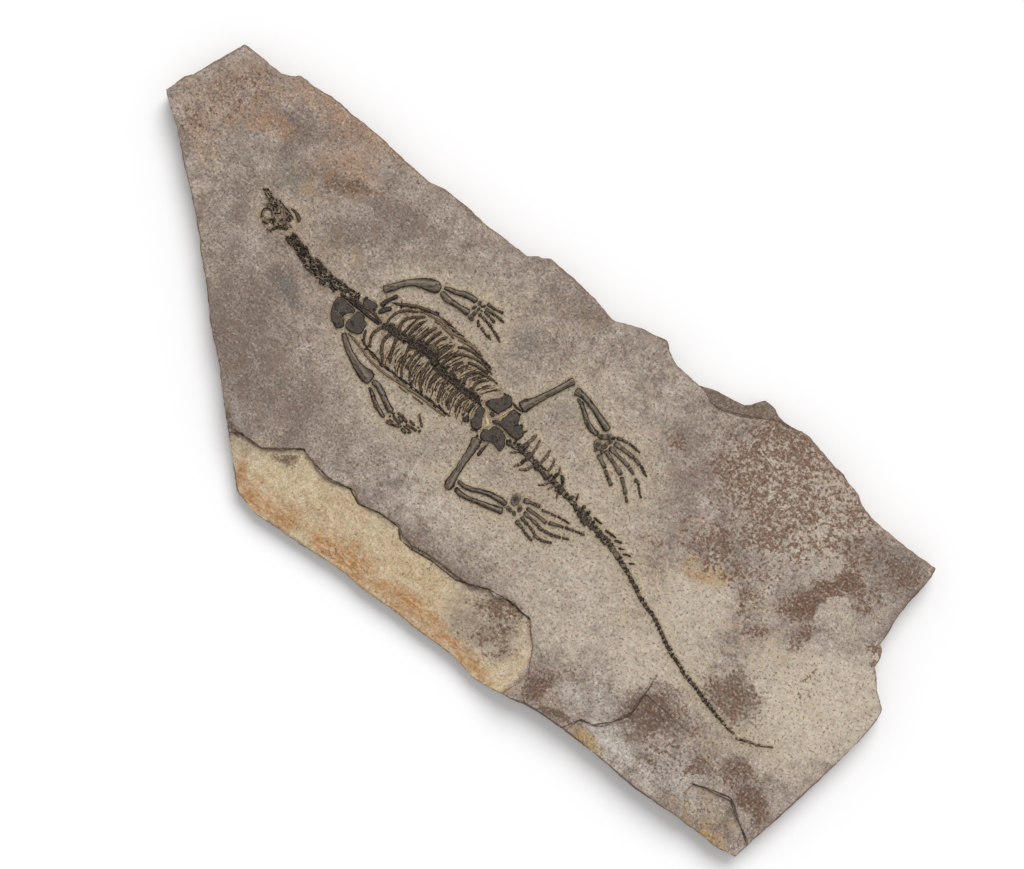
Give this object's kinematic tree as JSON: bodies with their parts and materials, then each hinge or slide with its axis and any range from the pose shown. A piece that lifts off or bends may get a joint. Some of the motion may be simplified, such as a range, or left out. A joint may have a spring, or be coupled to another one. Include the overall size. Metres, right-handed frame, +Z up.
{
  "type": "claudiosaurus fossil slab",
  "caption": "Flattened skeleton of a small long-tailed Permian reptile lying in low relief on an irregular slab of pale layered mudstone.",
  "frame": {"origin": "centre of the slab's bounding box, on the flat face it rests on", "axes": "+X along the slab from the skull end to the tail end, +Y across it towards the skeleton's right side, +Z up out of the face with the skeleton"},
  "size_m": [0.759, 0.3191, 0.0257],
  "materials": {
    "mudstone": "matt pale grey-brown mudstone with purple, rust and yellow stains",
    "grey_bone": "mineralised bone, smooth grey-brown with dark edges",
    "dark_bone": "mineralised bone, dark brown to black, slightly glossy"
  },
  "bodies": {
    "root": {"matrix_slab": "mudstone", "left_scapula": "grey_bone", "left_coracoid": "grey_bone", "right_scapula": "grey_bone", "right_humerus": "grey_bone", "right_radius": "grey_bone", "right_ulna": "grey_bone", "left_humerus": "grey_bone", "left_ulna": "grey_bone", "left_radius": "grey_bone", "right_pubis": "grey_bone", "left_pubis": "grey_bone", "left_pubis_chip": "grey_bone", "right_ischium_and_sacrum": "grey_bone", "left_ischium": "grey_bone", "right_femur": "grey_bone", "right_tibia": "grey_bone", "right_fibula": "grey_bone", "left_femur": "grey_bone", "left_tibia": "grey_bone", "left_fibula": "grey_bone", "skull": "dark_bone", "lower_jaw": "dark_bone", "neck_vertebrae": "dark_bone", "right_coracoid": "dark_bone", "interclavicle": "dark_bone", "right_scapula_fragment": "dark_bone", "right_hand": "dark_bone", "left_hand": "dark_bone", "left_finger": "dark_bone", "backbone_and_ribs": "dark_bone", "right_first_rib": "dark_bone", "right_flank_rib": "dark_bone", "right_loin_rib": "dark_bone", "left_first_rib": "dark_bone", "right_belly_ribs": "dark_bone", "left_belly_ribs": "dark_bone", "belly_rib_a": "dark_bone", "belly_rib_b": "dark_bone", "belly_rib_c": "dark_bone", "belly_rib_d": "dark_bone", "belly_rib_e": "dark_bone", "sacral_chip": "dark_bone", "left_femur_splinter": "dark_bone", "right_foot": "dark_bone", "left_foot": "dark_bone", "tail_vertebrae": "dark_bone", "tail_tip": "dark_bone", "chevron_a": "dark_bone", "chevron_b": "dark_bone", "chevron_c": "dark_bone", "chevron_d": "dark_bone", "chevron_e": "dark_bone", "chevron_f": "dark_bone"}
  },
  "joints": []
}
